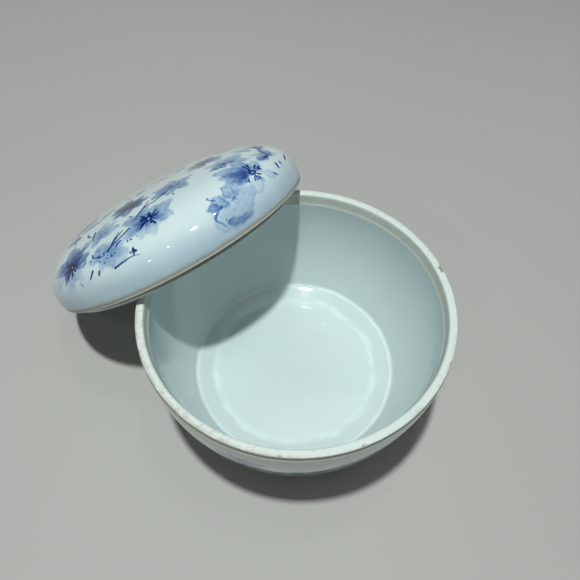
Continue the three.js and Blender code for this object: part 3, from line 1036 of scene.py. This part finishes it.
def painted(n, local, base):
    """The base colour seen through the washes and strokes of blue."""
    grain = n.step(n.noise(local, 0.45, 3), 0.3, 0.7, 0.84, 1.16)
    cloud = n.step(n.noise(local, 3.2, 4), 0.25, 0.75, 0.68, 1.32)
    wash = n.times(n.field("wash"), n.times(grain, cloud))
    stroke = n.step(n.add(n.field("ink"), n.wander(local, 0.7, 2, 0.3)), -0.14, 0.1)
    dry = n.step(n.noise(local, 0.8, 3), 0.3, 0.6, 0.82, 1.05)
    ink = n.times(stroke, n.times(n.field("ink_tone"), dry))
    pigment = n.mix(n.field("violet"), COBALT, VIOLET)
    washed = n.multiply(base, n.power(pigment, wash))
    return n.multiply(washed, n.power(COBALT, ink))


def specked(n, local, glaze, share):
    """The glaze with a few tiny dark specks of iron."""
    cells = n.node("TexVoronoi", Vector=local, Scale=1 / 6.5)
    near = n.step(cells.outputs["Distance"], 0.035, 0.02)
    keep = n.math("GREATER_THAN", n.noise(local, 9, 1), 0.56)
    return n.mix(n.times(n.times(near, keep), share), glaze, IRON)


def finish_surface(n, local, colour, bare, wave_rise, peel_rise):
    """Slow waves of the glaze, its faint orange peel, and the rough grain of bare clay."""
    waves = n.bump(n.noise(local, 11, 2), wave_rise)
    peel = n.bump(n.noise(local, 1.6, 2), peel_rise, waves)
    relief = n.bump(n.times(n.noise(local, 0.32, 4, 0.7), bare), 0.05, peel)
    n.surface(colour, n.step(bare, 0, 1, GLAZE_ROUGHNESS, CLAY_ROUGHNESS), relief)


def bare_clay(n, local, clean, stained, stain):
    """Unglazed porcelain: stained where it was handled, with fine pits and specks."""
    mottle = n.step(n.noise(local, 1.5, 5, 0.7), 0.45, 0.75)
    fleck = n.step(n.noise(local, 0.35, 3, 0.6), 0.57, 0.7)
    share = n.math("ADD", n.times(mottle, stain), n.times(fleck, n.times(stain, 0.5)), clamp=True)
    return n.mix(share, clean, stained)


def bowl_material(marks):
    n = Nodes("bowl_porcelain")
    local = n.field("local")
    along = n.add(n.field("along"), n.wander(local, 3.5, 3, 0.7))

    def between(start, end, soft=0.12):
        return n.times(
            n.step(along, marks[start] - soft, marks[start] + soft),
            n.step(along, marks[end] + soft, marks[end] - soft),
        )

    def line(at, half_width, share, stray):
        """A soft paler line round the bowl."""
        strayed = n.add(along, n.wander(local, 14, 2, stray))
        rising = n.step(strayed, at - half_width, at)
        return n.times(n.times(rising, n.step(strayed, at + half_width, at)), share)

    rim = between("rim outside", "rim inside")
    outer_band = between("band bottom", "rim outside", 0.2)
    rebate = n.times(
        n.step(along, marks["rim inside"] - 0.2, marks["rim inside"] + 0.2),
        n.step(along, marks["ledge"] + 0.9, marks["ledge"] - 0.5),
    )
    foot = between("foot inside", "foot outside")
    bare = n.math("ADD", n.add(rim, outer_band), n.add(rebate, foot), clamp=True)

    inside = n.step(along, marks["rim inside"], marks["ledge"])
    cloud = n.step(n.noise(local, 18, 3), 0.3, 0.7)
    celadon = n.mix(cloud, *CELADON)
    patchy = n.step(n.noise(local, 9, 3), 0.3, 0.6, 0.1, 0.5)
    pale_rings = n.add(
        n.times(line(marks["well corner"] - 0.7, 1.6, 1, 1.2), n.step(cloud, 0, 1, 0.7, 1)),
        n.times(line(marks["floor"] - 1.1, 2.6, 1, 5), patchy),
    )
    celadon = n.mix(n.math("MINIMUM", pale_rings, 1), celadon, PALE_CELADON)
    glaze = n.mix(inside, n.mix(cloud, *OUTER_GLAZE), celadon)
    glaze = painted(n, local, specked(n, local, glaze, 0.75))

    edge = n.step(along, marks["rim outside"] + 2, marks["rim outside"] + 0.4)
    handled = n.times(n.step(n.noise(local, 26, 2), 0.4, 0.62), 0.4)
    handled = n.math("MAXIMUM", handled, n.step(n.dot(local, (-0.25, -0.97, 0)), 22, 52))
    stain = n.add(n.add(0.16, n.times(edge, 0.3)), n.times(handled, 0.6))
    worn = n.times(n.times(handled, edge), n.step(n.noise(local, 5, 3), 0.36, 0.58, 0.25, 0.95))
    clean = n.mix(worn, RIM_CLEAN, RIM_WORN)
    # The outer band: bare clay with its stains, painted darker as shade.
    colour = n.mix(outer_band, glaze, bare_clay(n, local, *BAND_CLAY_IN_SHADE, 0.7))
    colour = n.mix(rebate, colour, bare_clay(n, local, *LEDGE_CLAY, 0.5))
    colour = n.mix(rim, colour, bare_clay(n, local, clean, RIM_STAINED, stain))
    colour = n.mix(foot, colour, bare_clay(n, local, *FOOT_CLAY, 0.6))
    colour = n.mix(n.times(n.field("chip"), 0.8), colour, CHIP_CLAY)
    finish_surface(n, local, colour, bare, 0.018, 0.005)
    return n.material


def lid_material(marks):
    n = Nodes("lid_porcelain")
    local = n.field("local")
    true_along = n.field("along")
    along = n.add(true_along, n.wander(local, 4, 3, 0.6))
    glaze_edge = marks["edge"] + 1.7
    bare = n.times(
        n.step(along, marks["flange outside"] - 0.4, marks["flange outside"]),
        n.step(along, glaze_edge + 0.2, glaze_edge - 0.2),
    )
    cloud = n.step(n.noise(local, 16, 3), 0.3, 0.7)
    white = n.mix(cloud, *LID_GLAZE)
    blown = n.step(along, marks["edge"] + 17, marks["edge"] + 1.5, 0, 0.34)
    outer = n.step(true_along, marks["edge"], marks["edge"] + 0.5)
    blown = n.times(n.times(blown, outer), n.step(n.noise(local, 7, 3), 0.2, 0.8, 0.8, 1.2))
    glaze = n.multiply(white, n.power(COBALT, blown))
    glaze = painted(n, local, specked(n, local, glaze, 0.7))
    # The bare edge: its clay with stains, painted darker as shade.
    clay = bare_clay(n, local, *LID_CLAY_IN_SHADE, 0.45)
    # Painted highlight: a paler line along the lid's lowest corner, as if lit from the bowl below.
    corner = n.step(n.math("ABSOLUTE", n.add(along, -marks["edge"])), 0.5, 0.1)
    colour = n.mix(bare, glaze, n.mix(corner, clay, LID_CORNER_HIGHLIGHT))
    finish_surface(n, local, colour, bare, 0.03, 0.0025)
    return n.material


# ---- floor and lights, in metres


STUDIO_RADIUS = 4
FLOOR_GAP = 0.0002  # between the part and the floor
FLOOR_COLOURS = ((0.47, 0.455, 0.43), (0.49, 0.475, 0.45))
LAMP_COLOUR = (0.93, 1.0, 0.99)
SKY_COLOUR = (0.92, 0.95, 1.0, 1)
SKY_STRENGTH = 0.05
LAMPS = (  # name, azimuth and elevation in degrees, distance, size, watts
    ("key_overhead", -77, 83.9, 1.25, 0.07, 12),
    ("second_overhead", 101, 77.8, 1.65, 0.06, 0.9),
    ("front_high", -78.3, 60.6, 1.75, 0.08, 0.7),
    ("front_low", -80.5, 41.1, 1.75, 0.08, 0.7),
    ("soft_panel", 60, 80, 1.5, 1.1, 1.5),
)


def floor_material():
    n = Nodes("studio_floor")
    place = n.node("TexCoord").outputs["Object"]
    patch = n.step(n.noise(place, 0.4, 3), 0.3, 0.7)
    n.surface(n.mix(patch, *FLOOR_COLOURS), 0.7, n.bump(n.noise(place, 0.004, 3), 0.02))
    return n.material


def make_floor():
    bm = bmesh.new()
    bmesh.ops.create_circle(bm, cap_ends=True, segments=128, radius=STUDIO_RADIUS)
    mesh = bpy.data.meshes.new("studio_floor")
    bm.to_mesh(mesh)
    bm.free()
    floor = bpy.data.objects.new("studio_floor", mesh)
    floor.location.z = cad_box[0][2] - FLOOR_GAP
    floor.data.materials.append(floor_material())
    scene.collection.objects.link(floor)


def make_lamps():
    middle = bowl_place() @ Vector((0, 0, BOWL_HEIGHT / 2))
    for name, azimuth, elevation, distance, size, watts in LAMPS:
        away = direction(math.radians(azimuth), math.radians(elevation))
        lamp = bpy.data.objects.new(name, bpy.data.lights.new(name, "AREA"))
        lamp.data.shape = "DISK"
        lamp.data.size = size
        lamp.data.energy = watts
        lamp.data.color = LAMP_COLOUR
        turn = away.to_track_quat("Z", "Y").to_matrix().to_4x4()
        lamp.matrix_world = Matrix.Translation(middle + away * distance) @ turn
        scene.collection.objects.link(lamp)


def make_world():
    world = bpy.data.worlds.new("studio")
    world.use_nodes = True
    background = world.node_tree.nodes["Background"]
    background.inputs["Color"].default_value = SKY_COLOUR
    background.inputs["Strength"].default_value = SKY_STRENGTH
    scene.world = world


make_floor()
make_lamps()
make_world()

bowl, bowl_marks = make_bowl()
bowl.data.materials.append(bowl_material(bowl_marks))
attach(bowl, "bowl")
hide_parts("bowl")

lid, lid_marks = make_lid()
lid.data.materials.append(lid_material(lid_marks))
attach(lid, "lid")
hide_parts("lid")
